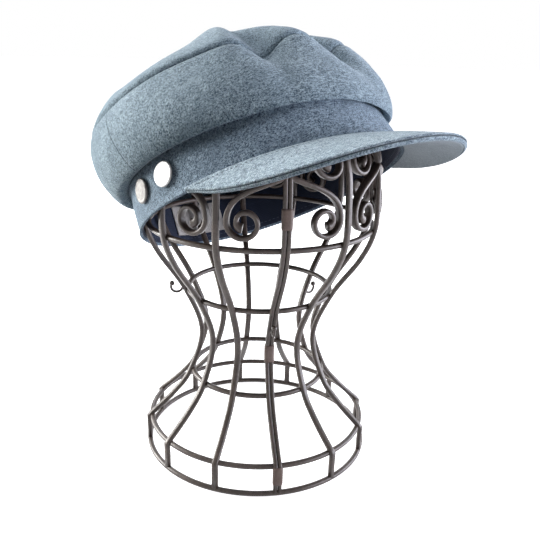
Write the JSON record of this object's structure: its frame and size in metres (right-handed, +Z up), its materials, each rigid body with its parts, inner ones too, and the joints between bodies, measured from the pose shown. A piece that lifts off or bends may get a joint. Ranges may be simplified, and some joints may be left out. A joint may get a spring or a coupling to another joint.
{
  "type": "cap on a wire hat stand",
  "caption": "Soft wool cap with a puffed flat crown, narrow band and short curved peak, resting on an open wire hat stand.",
  "frame": {"origin": "middle of the bounding box on the floor under the stand's foot ring", "axes": "+Z up, -Y the way the cap's peak points, +X the wearer's left"},
  "size_m": [0.2104, 0.2884, 0.3043],
  "materials": {
    "wool": "matte heathered blue-grey",
    "wool_pale": "matte pale blue-grey",
    "sweatband_cloth": "matte navy",
    "label_cloth": "matte grey-brown, blank",
    "silver": "brushed, bright",
    "bronzed_wire": "dark bronze, satin"
  },
  "bodies": {
    "root": {"crown_wall": "wool", "crown_tip": "wool", "band": "wool", "peak": "wool_pale", "peak_underside": "wool_pale", "sweatband": "sweatband_cloth", "label": "label_cloth", "right_front_button": "silver", "right_back_button": "silver", "left_front_button": "silver", "left_back_button": "silver", "wire_stand": "bronzed_wire"}
  },
  "joints": []
}
